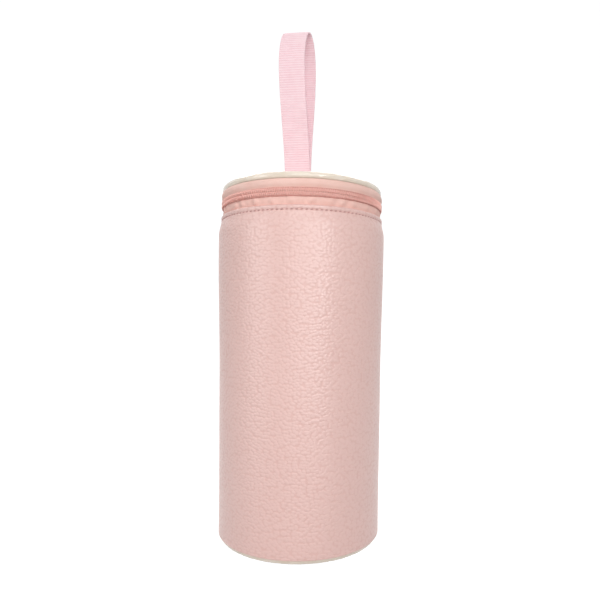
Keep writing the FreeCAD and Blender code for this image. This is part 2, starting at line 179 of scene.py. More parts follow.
def settle(obj, material, body, slot, *nodes):
    """Gives a piece its finish, its body (None leaves it unattached) and hides the solids that it stands
    for.
    """
    obj.data.materials.append(material)
    if body:
        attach(obj, body)
    if nodes:
        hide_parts(*nodes)
    print(f"{obj.name}: {len(obj.data.polygons)} faces")


print("grid helpers ready")


# %% Shape helpers
def around(radius, angle, height):
    """Points from polar values: x = r cos a, y = r sin a, z."""
    return np.stack(np.broadcast_arrays(radius * np.cos(angle), radius * np.sin(angle), height), -1)


def turned(outline, angles, relief=0.0):
    """An outline of radius and height carried round the axis, with a relief added to its radius."""
    return around(outline[:, :1] + relief, angles, outline[:, 1:])


def round_turn(count):
    """Angles of a full turn, starting at the back so that seams lie there."""
    return BACK + np.arange(count) * 2 * np.pi / count


def eased(share):
    """Smooth step: 0 below 0, 1 above 1, and 3s^2 - 2s^3 between."""
    share = np.clip(share, 0.0, 1.0)
    return share * share * (3 - 2 * share)


def bell(value, middle, spread):
    """Bell curve: exp(-((x - middle) / spread)^2)."""
    return np.exp(-(((value - middle) / spread) ** 2))


def arc(centre, radii, start, end, count):
    """Points on an ellipse about centre (radius, height), from start to end in degrees."""
    turn = np.radians(np.linspace(start, end, count))
    return np.stack([centre[0] + radii[0] * np.cos(turn), centre[1] + radii[1] * np.sin(turn)], -1)


print("shape helpers ready")

# %% [markdown]
# ## Finishes
# Each finish starts from what the real material is. Colours are written as sRGB hex values,
# the way a colour card gives them, and one function turns them into the linear values Blender wants.
# One small function adds a node, sets it and links it.


# %% Finish helpers
def linear(code):
    """sRGB hex to linear: c / 12.92 below 0.04045, and ((c + 0.055) / 1.055) ^ 2.4 above."""
    parts = np.array([int(code[k : k + 2], 16) for k in (1, 3, 5)]) / 255
    parts = np.where(parts <= 0.04045, parts / 12.92, ((parts + 0.055) / 1.055) ** 2.4)
    return (*map(float, parts), 1.0)


def add(tree, kind, links=None, **settings):
    """Adds a node. links maps its input sockets to values or to other nodes' outputs."""
    node = tree.nodes.new(kind)
    for name, value in settings.items():
        setattr(node, name, value)
    for name, value in (links or {}).items():
        if isinstance(value, bpy.types.NodeSocket):
            tree.links.new(value, node.inputs[name])
        else:
            node.inputs[name].default_value = value
    return node


def start_finish(name, **sockets):
    """A new material with its constant values set on the shader's own sockets."""
    material = bpy.data.materials.new(name)
    material.use_nodes = True
    tree = material.node_tree
    shader = tree.nodes["Principled BSDF"]
    for socket, value in sockets.items():
        shader.inputs[socket.replace("_", " ")].default_value = value
    return material, tree, shader


print("finish helpers ready")

# %% [markdown]
# ### Pebbled PU leather
# Coated cloth, embossed with a lychee grain: domed pebbles about 1.9 mm wide and 1.5 mm tall, parted by
# creases, which are painted a little darker as painted shade. The pearl in its coating gives a soft broad
# shine, which the domes break into specks.
# Real displacement would need about a million faces for grain this fine, so the pebbles are a bump.
# The roller that embosses the cloth works on it flat, so the cells are laid out in millimetres along the
# sheet. A disc has no such rows: there the cells are laid out in its own plane.


# %% Leather finish
def pebble_leather(name, crest, shaded_crease, rolled, wide_mm=1.9, tall_mm=1.5, depth_mm=0.14):
    """Pebbles are domes, 1 - d^2 / 0.45 of the distance d to the nearest centre; creases get painted shade.
    """
    material, tree, shader = start_finish(name, IOR=1.65)
    if rolled:
        place = add(tree, "ShaderNodeUVMap", uv_map="along_mm").outputs["UV"]
        size = (1 / wide_mm, 1 / tall_mm, 1.0)
    else:
        place = add(tree, "ShaderNodeTexCoord").outputs["Object"]
        size = (1 / (wide_mm * MM), 1 / (tall_mm * MM), 1.0)
    cells = add(tree, "ShaderNodeMapping", {"Vector": place, "Scale": size}).outputs["Vector"]
    warp = add(tree, "ShaderNodeTexNoise", {"Vector": cells, "Scale": 0.45, "Detail": 1.0}).outputs["Color"]
    bend = {0: warp, 1: (0.3, 0.3, 0.0), 2: cells}
    bent = add(tree, "ShaderNodeVectorMath", bend, operation="MULTIPLY_ADD").outputs["Vector"]
    nearest = {"Vector": bent, "Scale": 1.0, "Randomness": 0.88}
    reach = add(tree, "ShaderNodeTexVoronoi", nearest, voronoi_dimensions="2D").outputs["Distance"]
    square = add(tree, "ShaderNodeMath", {0: reach, 1: reach}, operation="MULTIPLY").outputs[0]
    dome = {"Value": square, "From Max": 0.45, "To Min": 1.0, "To Max": 0.0}
    pebble = add(tree, "ShaderNodeMapRange", dome).outputs["Result"]
    fine = add(tree, "ShaderNodeTexNoise", {"Vector": cells, "Scale": 3.5, "Detail": 2.0}).outputs["Fac"]
    height = add(tree, "ShaderNodeMath", {0: fine, 1: 0.06, 2: pebble}, operation="MULTIPLY_ADD").outputs[0]
    bump = add(tree, "ShaderNodeBump", {"Height": height, "Strength": 1.0, "Distance": depth_mm * MM})
    cloud = add(tree, "ShaderNodeTexNoise", {"Vector": cells, "Scale": 0.1, "Detail": 2.0}).outputs["Fac"]
    tone = add(tree, "ShaderNodeMath", {0: cloud, 1: 0.4, 2: pebble}, operation="MULTIPLY_ADD").outputs[0]
    # Painted shade: the colour darkens from each pebble's crest down into its creases.
    colour = add(tree, "ShaderNodeValToRGB", {"Fac": tone})
    colour.color_ramp.elements[0].position = 0.1
    colour.color_ramp.elements[0].color = linear(shaded_crease)
    colour.color_ramp.elements[1].position = 0.8
    colour.color_ramp.elements[1].color = linear(crest)
    gloss = add(tree, "ShaderNodeMapRange", {"Value": pebble, "To Min": 0.4, "To Max": 0.3})
    tree.links.new(colour.outputs["Color"], shader.inputs["Base Color"])
    tree.links.new(gloss.outputs["Result"], shader.inputs["Roughness"])
    tree.links.new(bump.outputs["Normal"], shader.inputs["Normal"])
    return material


# The crease colour is painted shade in the creases between pebbles.
LEATHER_CREST, LEATHER_SHADED_CREASE = "#E5BFB8", "#DFB5AD"
leather = pebble_leather("pink_pebbled_pu_leather", LEATHER_CREST, LEATHER_SHADED_CREASE, True)
disc_leather = pebble_leather("pink_pebbled_pu_leather_disc", LEATHER_CREST, LEATHER_SHADED_CREASE, False)
print("finishes:", leather.name, disc_leather.name)

# %% [markdown]
# ### Woven finishes
# Zip tape and binding ribbon are flat polyester weaves with threads about 0.35 mm apart, which gives them a
# dull, even face. That is finer than a pixel of the main view, so the threads are drawn 0.5 to 0.6 mm apart
# to show at all. The webbing has thick weft ribs, about 1.5 mm apart, which are in its mesh too, and fine
# warp threads, which are in its finish alone.

# %% Woven finishes
SLUBS_PER_MM = 0.22


def woven(name, light, dark, u_mm, v_mm, depth_mm, roughness, sheen, weave=1.0):
    """Thread waves sin(u) (1 - weave + weave sin(v)), mottled by slubs; a low weave leaves plain ribs. The
    dips get painted shade.
    """
    fuzz = {"Sheen_Weight": sheen, "Sheen_Roughness": 0.45}
    material, tree, shader = start_finish(name, Roughness=roughness, **fuzz)
    cloth = add(tree, "ShaderNodeUVMap", uv_map="along_mm").outputs["UV"]
    turns = (2 * math.pi / u_mm, 2 * math.pi / v_mm, 1.0)
    phase = add(tree, "ShaderNodeMapping", {"Vector": cloth, "Scale": turns}).outputs["Vector"]
    parts = add(tree, "ShaderNodeSeparateXYZ", {"Vector": phase})
    warp = add(tree, "ShaderNodeMath", {0: parts.outputs["X"]}, operation="SINE").outputs[0]
    weft = add(tree, "ShaderNodeMath", {0: parts.outputs["Y"]}, operation="SINE").outputs[0]
    depth = {0: weft, 1: weave, 2: 1.0 - weave}
    level = add(tree, "ShaderNodeMath", depth, operation="MULTIPLY_ADD").outputs[0]
    cross = add(tree, "ShaderNodeMath", {0: warp, 1: level}, operation="MULTIPLY").outputs[0]
    place = add(tree, "ShaderNodeTexCoord").outputs["Object"]
    uneven = {"Vector": place, "Scale": SLUBS_PER_MM / MM, "Detail": 3.0}
    slub = add(tree, "ShaderNodeTexNoise", uneven).outputs["Fac"]
    # Painted shade: the dips between threads are coloured darker than their tops; the slubs are the yarn's
    # own tone.
    shade = {"Value": cross, "From Min": -1.0, "To Min": 0.0, "To Max": 0.6}
    tone = add(tree, "ShaderNodeMapRange", shade).outputs["Result"]
    mixed = add(tree, "ShaderNodeMath", {0: slub, 1: 0.6, 2: tone}, operation="MULTIPLY_ADD").outputs[0]
    colour = add(tree, "ShaderNodeValToRGB", {"Fac": mixed})
    colour.color_ramp.elements[0].position = 0.2
    colour.color_ramp.elements[0].color = linear(dark)
    colour.color_ramp.elements[1].position = 0.85
    colour.color_ramp.elements[1].color = linear(light)
    bump = add(tree, "ShaderNodeBump", {"Height": mixed, "Strength": 0.5, "Distance": depth_mm * MM})
    tree.links.new(colour.outputs["Color"], shader.inputs["Base Color"])
    tree.links.new(bump.outputs["Normal"], shader.inputs["Normal"])
    return material


THREAD, RIBBON_THREAD, THREAD_DEPTH = 0.5, 0.6, 0.12
RIB, WARP, RIB_DEPTH, RIB_WEAVE = 1.5, 1.4, 0.1, 0.25
tape_weave = woven("salmon_woven_zip_tape", "#F4CDC2", "#E9B4A9", THREAD, THREAD, THREAD_DEPTH, 0.72, 0.15)
lid_weave = woven("pale_woven_lid_tape", "#F3CFC4", "#EABAAD", THREAD, THREAD, THREAD_DEPTH, 0.68, 0.15)
ribbon = woven(
    "pink_binding_ribbon", "#EDC0BA", "#DDA29B", RIBBON_THREAD, RIBBON_THREAD, THREAD_DEPTH, 0.7, 0.15
)
webbing = woven("pale_pink_ribbed_webbing", "#FADFE4", "#F0C6CE", RIB, WARP, RIB_DEPTH, 0.7, 0.3, RIB_WEAVE)
print("finishes:", tape_weave.name, lid_weave.name, ribbon.name, webbing.name)

# %% [markdown]
# ### Welt, coil, thread, foil, foam and nickel
# The welt is patent coated cloth: cream, smooth and glossy, with faint pulls round the cord.
# The coil is dyed nylon monofilament and the thread is twisted polyester. The lining is a metallised film
# with soft crinkles, and the slider is die-cast zinc with a nickel plate, faintly worn.


# %% Plain finishes
def mottled(name, light, dark, grain_mm, depth_mm, **sockets):
    """Noise of one real grain size, used for tone and for relief."""
    material, tree, shader = start_finish(name, **sockets)
    place = add(tree, "ShaderNodeTexCoord").outputs["Object"]
    grain = {"Vector": place, "Scale": 1 / (grain_mm * MM), "Detail": 4.0}
    noise = add(tree, "ShaderNodeTexNoise", grain).outputs["Fac"]
    colour = add(tree, "ShaderNodeValToRGB", {"Fac": noise})
    colour.color_ramp.elements[0].position = 0.3
    colour.color_ramp.elements[0].color = linear(dark)
    colour.color_ramp.elements[1].position = 0.7
    colour.color_ramp.elements[1].color = linear(light)
    bump = add(tree, "ShaderNodeBump", {"Height": noise, "Strength": 0.4, "Distance": depth_mm * MM})
    tree.links.new(colour.outputs["Color"], shader.inputs["Base Color"])
    tree.links.new(bump.outputs["Normal"], shader.inputs["Normal"])
    return material


def crinkled_foil(name, crinkle_mm=6.0, grain_mm=0.5, depth_mm=0.35):
    """Metallised film: ridged noise for the crinkles, and a fine satin grain in its gloss."""
    material, tree, shader = start_finish(name, Metallic=0.85)
    place = add(tree, "ShaderNodeTexCoord").outputs["Object"]
    ridges = {"Vector": place, "Scale": 1 / (crinkle_mm * MM), "Detail": 3.0}
    fold = add(tree, "ShaderNodeTexNoise", ridges, noise_type="RIDGED_MULTIFRACTAL").outputs["Fac"]
    satin = {"Vector": place, "Scale": 1 / (grain_mm * MM), "Detail": 1.0}
    grain = add(tree, "ShaderNodeTexNoise", satin).outputs["Fac"]
    bump = add(tree, "ShaderNodeBump", {"Height": fold, "Strength": 0.5, "Distance": depth_mm * MM})
    gloss = add(tree, "ShaderNodeMapRange", {"Value": grain, "To Min": 0.28, "To Max": 0.46})
    colour = add(tree, "ShaderNodeValToRGB", {"Fac": fold})
    colour.color_ramp.elements[0].color = linear("#B9BCC0")
    colour.color_ramp.elements[1].color = linear("#D9DBDD")
    tree.links.new(colour.outputs["Color"], shader.inputs["Base Color"])
    tree.links.new(gloss.outputs["Result"], shader.inputs["Roughness"])
    tree.links.new(bump.outputs["Normal"], shader.inputs["Normal"])
    return material


def plated_metal(name, wear_mm=1.5, edge_mm=0.2):
    """Nickel plate: near-mirror with a fine wander in gloss; a bevel node softens the casting's edges."""
    material, tree, shader = start_finish(name, Metallic=1.0)
    place = add(tree, "ShaderNodeTexCoord").outputs["Object"]
    rubbed = {"Vector": place, "Scale": 1 / (wear_mm * MM), "Detail": 4.0}
    wear = add(tree, "ShaderNodeTexNoise", rubbed).outputs["Fac"]
    gloss = add(tree, "ShaderNodeMapRange", {"Value": wear, "To Min": 0.14, "To Max": 0.36})
    soft_edge = add(tree, "ShaderNodeBevel", {"Radius": edge_mm * MM}, samples=6)
    colour = add(tree, "ShaderNodeValToRGB", {"Fac": wear})
    colour.color_ramp.elements[0].color = linear("#BDB9B3")
    colour.color_ramp.elements[1].color = linear("#D8D5D0")
    tree.links.new(colour.outputs["Color"], shader.inputs["Base Color"])
    tree.links.new(gloss.outputs["Result"], shader.inputs["Roughness"])
    tree.links.new(soft_edge.outputs["Normal"], shader.inputs["Normal"])
    return material


patent = {"Roughness": 0.2, "Coat_Weight": 0.5, "Coat_Roughness": 0.08}
spun = {"Roughness": 0.6, "Sheen_Weight": 0.2}
sewn = {"Roughness": 0.65, "Sheen_Weight": 0.2}
welt = mottled("cream_patent_welt", "#EBDFD0", "#E2D3C0", grain_mm=5.0, depth_mm=0.15, **patent)
coil_nylon = mottled("coral_nylon_coil", "#FCCDC3", "#F5BBB0", grain_mm=1.0, depth_mm=0.02, Roughness=0.38)
thread = mottled("mauve_polyester_thread", "#CFA19C", "#B4837E", grain_mm=0.4, depth_mm=0.1, **spun)
# The sewing thread is a dark coral partly to draw the shadow line along the chain's foot: painted shadow.
sewing_thread_and_shadow = mottled("coral_sewing_thread_and_shadow_line", "#D4968B", "#C27F74", grain_mm=0.5, depth_mm=0.06, **sewn)
foil = crinkled_foil("silver_metallised_lining")
foam = mottled("white_closed_cell_foam", "#F4F2EE", "#E4E1DB", grain_mm=0.7, depth_mm=0.15, Roughness=0.9)
nickel = plated_metal("nickel_plated_zinc")
plain_finishes = (welt, coil_nylon, thread, sewing_thread_and_shadow, foil, foam, nickel)
print("finishes:", ", ".join(finish.name for finish in plain_finishes))

# %% [markdown]
# ## Outer wall
# The wall is one leather sheet rolled into a tube. It is widest just under the zip, where the padding pushes
# its shoulder out, and its upper edge is folded in and topstitched. The seam pulls a groove below a soft
# bead. A plain turned tube would look like a tin, so slow swells are added to its radius, with a dimple at
# each stitch and a butt seam down the back.

# %% Wall outline
NECK_DROP, FOOT_TRIM, HEM_ROUND = 1.5, 0.5, 0.8
SHOULDER_FOOT, WALL_STEP, STITCH_ROWS, HEM_STEP = 150.0, 2.0, 4.0, 0.4
GROOVE_DEEP, GROOVE_SPREAD = 0.36, 0.45
BEAD_HIGH, BEAD_SPREAD, BEAD_DROP = 0.2, 0.7, 1.1
FOLD_SET_IN, FOLD_HALF = 0.72, 0.86


def wall_radius(z):
    """Side outline: smooth steps between the base, the middle, the shoulder and the hem."""
    foot, middle = (WALL_FOOT, BASE_R), (HEM_TOP / 2, WALL_R)
    shoulder = (HEM_TOP - SHOULDER_DROP, WALL_R + SHOULDER_BULGE)
    stations = [foot, middle, shoulder, (HEM_TOP - NECK_DROP, HEM_R)]
    radius = np.full_like(z, BASE_R)
    for (low, start), (high, end) in zip(stations, stations[1:]):
        radius = radius + (end - start) * eased((z - low) / (high - low))
    return radius


def shell_outline():
    """Up the outside, over the folded hem, and down the inside; rows lie closer at the shoulder and hem."""
    wall_z = np.linspace(WALL_FOOT + FOOT_TRIM, SHOULDER_FOOT, 44)
    shoulder_z = np.linspace(SHOULDER_FOOT + WALL_STEP, HEM_TOP - STITCH_ROWS - HEM_STEP, 22)
    hem_z = np.linspace(HEM_TOP - STITCH_ROWS, HEM_TOP - HEM_ROUND, 17)
    z = np.concatenate([wall_z, shoulder_z, hem_z])
    groove = GROOVE_DEEP * bell(z, STITCH_Z, GROOVE_SPREAD)
    bead = BEAD_HIGH * bell(z, HEM_TOP - BEAD_DROP, BEAD_SPREAD)
    outside = np.stack([wall_radius(z) - groove + bead, z], -1)
    fold = arc((HEM_R - FOLD_SET_IN, HEM_TOP - HEM_ROUND), (FOLD_HALF, HEM_ROUND), 12, 168, 9)
    lap_r = HEM_R - 2 * LEATHER
    lap = [[lap_r + 0.02, HEM_TOP - 1.0], [lap_r, HEM_TOP - 6.0], [lap_r, HEM_TOP - HEM_FOLD + 0.2]]
    inner_z = np.linspace(HEM_TOP - HEM_FOLD - FIT, WALL_FOOT + FOOT_TRIM, 30)
    inside = np.stack([wall_radius(inner_z) - LEATHER, inner_z], -1)
    half = LEATHER / 2
    turn = arc((BASE_R - half, WALL_FOOT + half), (half, half), 190, 350, 5)
    return np.vstack([outside, fold, lap, inside, turn])


outline = shell_outline()
outline_z = outline[:, 1:]
print(f"wall outline of {len(outline)} points, widest {outline[:, 0].max():.1f} mm from the axis")

# %% Leather shell
STITCHES, STEPS_PER_STITCH = 114, 6
DIMPLE_DEEP, DIMPLE_SPREAD = 0.1, 0.4
SEAM_DEEP, SEAM_TURN, SEAM_FADE = 0.45, 0.5 / 46.0, 3.0
SWELL_FADE, HEM_CALM, OUTER_SKIN = 25.0, 6.0, 0.6
# Each slow wave of the wall: its height, how many go round, its rise in mm per radian, and its start
SWELLS = ((0.16, 2, 57.0, 0.0), (0.11, 3, -80.0, 1.0), (0.07, 5, 31.0, 0.0))


def soft_swell(angles, z):
    """Slow waves, high sin(count a + z / rise + start), faded out at the hem and at the base."""
    fade = eased(z / SWELL_FADE) * eased((HEM_TOP - HEM_CALM - z) / SWELL_FADE)
    waves = [high * np.sin(count * angles + z / rise + start) for high, count, rise, start in SWELLS]
    return fade * sum(waves)


shell_angles = round_turn(STITCHES * STEPS_PER_STITCH)
back_gap = (shell_angles - BACK + np.pi) % (2 * np.pi) - np.pi
seam_fade = eased((HEM_TOP - HEM_CALM - outline_z) / SEAM_FADE)
seam = -SEAM_DEEP * bell(back_gap, 0.0, SEAM_TURN) * seam_fade
dimple = -DIMPLE_DEEP * np.cos(shell_angles * STITCHES) * bell(outline_z, STITCH_Z, DIMPLE_SPREAD)
outer_only = (outline[:, :1] > wall_radius(outline_z) - OUTER_SKIN) * 1.0
relief = soft_swell(shell_angles, outline_z) + outer_only * (seam + dimple)
shell = piece("leather_wall", turned(outline, shell_angles, relief), True, True)
settle(shell, leather, "bag", "grained_leather", "leather_shell")

# %% [markdown]
# ## Topstitching
# The hem is sewn with a lockstitch of about 2.5 mm in mauve thread. Each stitch is a short sausage of thread
# that rises out of one needle hole and dives into the next. An Array modifier could repeat one stitch, but
# here all of them are worked out at once, as one mesh with a few dozen faces each.

# %% Hem stitches
STITCH_LONG, STITCH_THICK, STITCH_SINK = 1.5, 0.55, 0.28
STITCH_RISE, STITCH_SLANT = 0.16, 0.12


def stitch_row(name, radius, height, count):
    """Each stitch: radius + rise (1 - t^2) along t from -1 to 1; its section closes as sqrt(1 - t^4)."""
    steps, sides = 7, 6
    t = np.linspace(-1, 1, steps)[None, :, None]
    ring = np.arange(sides) * 2 * np.pi / sides
    centre = BACK + (np.arange(count)[:, None, None] + 0.5) * 2 * np.pi / count
    angle = centre + t * STITCH_LONG / 2 / radius
    swell = STITCH_THICK / 2 * np.sqrt(np.maximum(1 - t**4, 0.02))
    r = radius + STITCH_RISE * (1 - t**2) + swell * np.cos(ring)
    z = height + STITCH_SLANT * t + swell * np.sin(ring)
    points = around(r, angle, z).reshape(-1, 3)
    first = np.arange(count)[:, None] * steps * sides
    one = grid_faces(steps, sides, False, True).reshape(-1, 4)
    faces = (one[None] + first[..., None]).reshape(-1, 4)
    if signed_volume(points, faces) < 0:
        faces = faces[:, ::-1]
    near = first + np.arange(sides)[::-1]
    far = first + (steps - 1) * sides + np.arange(sides)
    return mesh_object(name, points, faces.tolist() + near.tolist() + far.tolist())


hem_stitches = stitch_row("hem_topstitch", HEM_R - STITCH_SINK, STITCH_Z, STITCHES)
settle(hem_stitches, thread, "bag", "binding_tape")

# %% [markdown]
# ## Base
# A flat leather disc with a cream welt sewn round it. The welt sits just inside the leather wall, so from
# the front only a thin cream line of it shows. A torus would do for a welt, but the cloth over a real cord
# is pulled in unevenly by its seam, so the section's size wanders as it goes round.

# %% Base cover and welt
WELT_SLACK, PULL_DEEP, SLOW_PULL_DEEP = 0.05, 0.035, 0.03
BASE_PULLS, LID_PULLS, SLOW_SHARE, SLOW_START = 61, 67, 0.37, 1.3


def welt_ring(name, radius, height, pulls):
    """A round section carried round the bag; its size wanders by a quick and a slow row of pulls."""
    turn = np.arange(20)[:, None] * 2 * np.pi / 20
    angles = round_turn(420)
    quick = PULL_DEEP * np.sin(pulls * angles)
    slow = SLOW_PULL_DEEP * np.sin(int(SLOW_SHARE * pulls) * angles + SLOW_START)
    size = PIPING - WELT_SLACK + quick + slow
    points = around(radius + size * np.cos(turn), angles, height + size * np.sin(turn))
    return piece(name, points, True, True)


def flat_disc(name, radius, low, thick, below, above, rim_steps):
    """A flat disc with a round rim; below and above are the radii at which its two faces are divided."""
    half = thick / 2
    under = [[r, low] for r in below]
    rim = arc((radius - half, low + half), (half, half), -90, 90, rim_steps)
    over = [[r, low + thick] for r in above]
    return piece(name, turned(np.vstack([under, rim, over]), round_turn(180)), False, True)


base_welt = welt_ring("base_welt", BASE_PIPING_R, BASE_PIPING_Z, BASE_PULLS)
settle(base_welt, welt, "bag", "welt", "base_piping")
base = flat_disc("base_disc", BASE_PIPING_R - PIPING - FIT, 0.0, LEATHER, (0.0, 20.0), (20.0, 0.0), 7)
settle(base, disc_leather, "bag", "grained_leather", "base_cover")

# %% [markdown]
# ## Zip tapes
# Two woven tapes face each other across the chain. The lower one rises from behind the hem and is puckered
# by its seam; the upper one is the lid's short side wall and bellies out under the welt. A cloth simulation
# could give the puckers, but uneven sums of waves give them with the seams kept exactly in place.

# %% Tapes
ZIP_STEPS, CHAIN_SLIT, SEAM_LAP = 612, 0.03, 0.2
FLARE_START, LOWER_FLARE_RISE = 0.4, 3.0
PUCKER_RISE, SLACK_DROP, PUCKER_SPREAD = 2.2, 2.4, 1.6
BELLY_START, BELLY_RISE = 1.5, 2.6
WELT_TUCK, TUCK_DROP, TUCK_RISE = 0.5, 1.2, 1.4


def zip_angles(count):
    """The zip runs round the front, from one side of the hinge panel to the other."""
    return np.linspace(BACK + PANEL_HALF, BACK + 2 * np.pi - PANEL_HALF, count)


def tape(name, radius, z, angles, pucker):
    """A sheet behind a smooth side line, with a pucker field added to its radius."""
    line = np.stack([radius, z], -1)
    section = np.vstack([line, line[::-1] - [TAPE, 0.0]])
    return piece(name, turned(section, angles, pucker(angles, section[:, 1:])), True, False, True)


def uneven_wave(angles, high, count, drift, drifts):
    """A wave round the bag whose spacing drifts: high sin(count a + drift sin(drifts a))."""
    return high * np.sin(count * angles + drift * np.sin(drifts * angles))


def lower_pucker(angles, z):
    """Short creases that rise from the hem's seam: two uneven waves, strongest low on the tape."""
    ripple = uneven_wave(angles, 0.3, 31, 1.2, 5) + uneven_wave(angles, 0.22, 53, 2.0, 3)
    return ripple * bell(z, HEM_TOP + PUCKER_RISE, PUCKER_SPREAD)


def upper_pucker(angles, z):
    """Shallow slack waves in the lid's side wall."""
    ripple = uneven_wave(angles, 0.08, 17, 1.5, 4) + uneven_wave(angles, 0.05, 29, 0.0, 1)
    return ripple * bell(z, LID_SEAM - SLACK_DROP, PUCKER_SPREAD)


def lid_belly(z, start, rise):
    """0 at the chain, swelling to 1, and drawn in to one half under the welt."""
    return eased((z - ZIP_Z - start) / rise) - WELT_TUCK * eased((z - LID_SEAM + TUCK_DROP) / TUCK_RISE)


tucked_z = HEM_TOP + np.array([-TAPE_TUCK, -5.0, -1.5])
lower_z = np.concatenate([tucked_z, np.linspace(HEM_TOP - FLARE_START, ZIP_Z - CHAIN_SLIT, 16)])
lower_r = TAPE_R + TAPE_FLARE * eased((lower_z - HEM_TOP + FLARE_START) / LOWER_FLARE_RISE)
lower_tape = tape("lower_zip_tape_cloth", lower_r, lower_z, zip_angles(ZIP_STEPS), lower_pucker)
settle(lower_tape, tape_weave, "bag", "zip_tape", "lower_zip_tape")

upper_z = np.linspace(ZIP_Z + CHAIN_SLIT, LID_SEAM + SEAM_LAP, 16)
upper_r = ZIP_R + LID_BULGE * lid_belly(upper_z, BELLY_START, BELLY_RISE)
upper_tape = tape("lid_side_tape", upper_r, upper_z, zip_angles(ZIP_STEPS), upper_pucker)
settle(upper_tape, lid_weave, "lid", "zip_tape", "upper_zip_tape")

# %% [markdown]
# ## Zip coils
# A coil zip is two nylon springs sewn to the tapes. Their turns, 1.2 mm apart, mesh along the middle.
# A striped texture would do from afar, but close up the turns catch the light, so they are real.
# Each spring is one tube that winds round a flattened path, offset by half a turn so that the heads
# interleave. A line of coral sewing thread holds each spring to its tape. Its dark colour is partly painted
# shadow: it draws the shade line along the chain's edge.

# %% Coils
COIL_PITCH, COIL_WIRE, COIL_END = 1.2, 0.23, 0.006
COIL_STAND, COIL_HALF_DEEP, COIL_HALF_TALL, COIL_SHIFT = 0.58, 0.25, 0.82, 0.95


def coil(name, middle, shift):
    """Centre line: r = R + a cos p, z = Z + b sin p while p turns on; a ring of six points follows it."""
    radius, steps, sides = ZIP_R + COIL_STAND, 12, 6
    span = 2 * np.pi - 2 * PANEL_HALF - 2 * COIL_END
    turns = int(span * radius / COIL_PITCH)
    p = np.linspace(0, turns * 2 * np.pi, turns * steps + 1)
    angle = BACK + PANEL_HALF + COIL_END + span * p / p[-1]
    r = radius + COIL_HALF_DEEP * np.cos(p + shift)
    line = around(r, angle, middle + COIL_HALF_TALL * np.sin(p + shift))
    along = np.gradient(line, axis=0)
    along /= np.linalg.norm(along, axis=1, keepdims=True)
    axis = np.stack([-np.sin(angle), np.cos(angle), 0 * angle], -1)
    side = np.cross(along, axis)
    side /= np.linalg.norm(side, axis=1, keepdims=True)
    lift = np.cross(along, side)
    ring = np.arange(sides)[:, None] * 2 * np.pi / sides
    points = line[:, None] + COIL_WIRE * (side[:, None] * np.cos(ring) + lift[:, None] * np.sin(ring))
    return piece(name, points.transpose(1, 0, 2), True, False, True)


lower_coil = coil("lower_coil_turns", ZIP_Z - COIL_SHIFT, 0.0)
settle(lower_coil, coil_nylon, "bag", "zip_coil", "lower_zip_coil")
upper_coil = coil("upper_coil_turns", ZIP_Z + COIL_SHIFT, math.pi)
settle(upper_coil, coil_nylon, "lid", "zip_coil", "upper_zip_coil")

# %% Coil threads
SEWN_HALF, SEWN_SWELL, SEWN_PITCH = 0.26, 0.05, 2.4
LOWER_SEWN_DROP, LOWER_SEWN_STAND = 2.2, 0.2
UPPER_SEWN_RISE, UPPER_SEWN_STAND = 1.95, 0.1


def sewing_line(name, height, radius):
    """The thread that sews a coil to its tape: a thin tube round the front, swelling at each stitch."""
    angles = zip_angles(ZIP_STEPS)
    ring = np.arange(8)[:, None] * 2 * np.pi / 8
    size = SEWN_HALF + SEWN_SWELL * np.sin(angles * radius * 2 * np.pi / SEWN_PITCH)
    points = around(radius + size * np.cos(ring), angles, height + size * np.sin(ring))
    return piece(name, points, True, False, True)


# The dark thread below the lower coil also stands for the shade line under it: painted shadow.
lower_thread = sewing_line("lower_coil_thread", ZIP_Z - LOWER_SEWN_DROP, ZIP_R + LOWER_SEWN_STAND)
settle(lower_thread, sewing_thread_and_shadow, "bag", "binding_tape")
upper_thread = sewing_line("upper_coil_thread", ZIP_Z + UPPER_SEWN_RISE, ZIP_R + UPPER_SEWN_STAND)
settle(upper_thread, sewing_thread_and_shadow, "lid", "binding_tape")

# %% [markdown]
# ## Hinge panel
# Behind, the zip stops and a leather panel joins lid and body. Two rigid halves would part when the lid
# opens, so it is one sheet, shaped like the body below and the lid above and attached to neither. It is cut
# into many rows.

# %% Hinge panel
PANEL_GAP, PANEL_FLARE_RISE, PANEL_BELLY_RISE, BEND_HALF = 0.007, 4.0, 3.8, 5.5


def unpuckered(angles, z):
    """No relief at all."""
    return 0 * angles * z


panel_show = np.linspace(tucked_z[-1], LID_SEAM + SEAM_LAP, 37)
panel_z = np.concatenate([tucked_z[:-1], panel_show])
panel_flare = TAPE_FLARE * eased((panel_z - HEM_TOP + FLARE_START) / PANEL_FLARE_RISE)
panel_r = TAPE_R + panel_flare + LID_BULGE * lid_belly(panel_z, 0.0, PANEL_BELLY_RISE)
panel_angles = np.linspace(BACK - PANEL_HALF + PANEL_GAP, BACK + PANEL_HALF - PANEL_GAP, 61)
panel = tape("hinge_panel_leather", panel_r, panel_z, panel_angles, unpuckered)
settle(panel, leather, None, "grained_leather", "hinge_panel")
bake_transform(panel)

# %% [markdown]
# ## Lid
# The lid is a crowned leather pad edged with the same cream welt. Its underside is foil, and a ribbon binds
# the seam inside. The strap's ends go down into a notch at the back of the pad. The pad is drawn tight over
# foam, so a formula gives its crown and the exact edges that the seam and the notch need.

# %% Lid welt and pad
PAD_EDGE, PAD_THICK, SEAM_DROP, SEAM_START = 1.6, 0.7, 0.5, 0.955
NOTCH_SIDE, NOTCH_TURN = 0.35, 0.235


def notch_reach(angles):
    """Rim radius of the pad: round, but cut back straight in front of the strap's ends."""
    y = np.sin(angles)
    width = np.abs(LID_RADIUS * np.cos(angles))
    cut = (STRAP_Y - STRAP_STACK / 2 - FIT) / np.maximum(y, 1e-3)
    behind = (y > 0) & (width < STRAP_WIDTH / 2 + NOTCH_SIDE)
    return np.where(behind, np.minimum(cut, LID_RADIUS), LID_RADIUS)


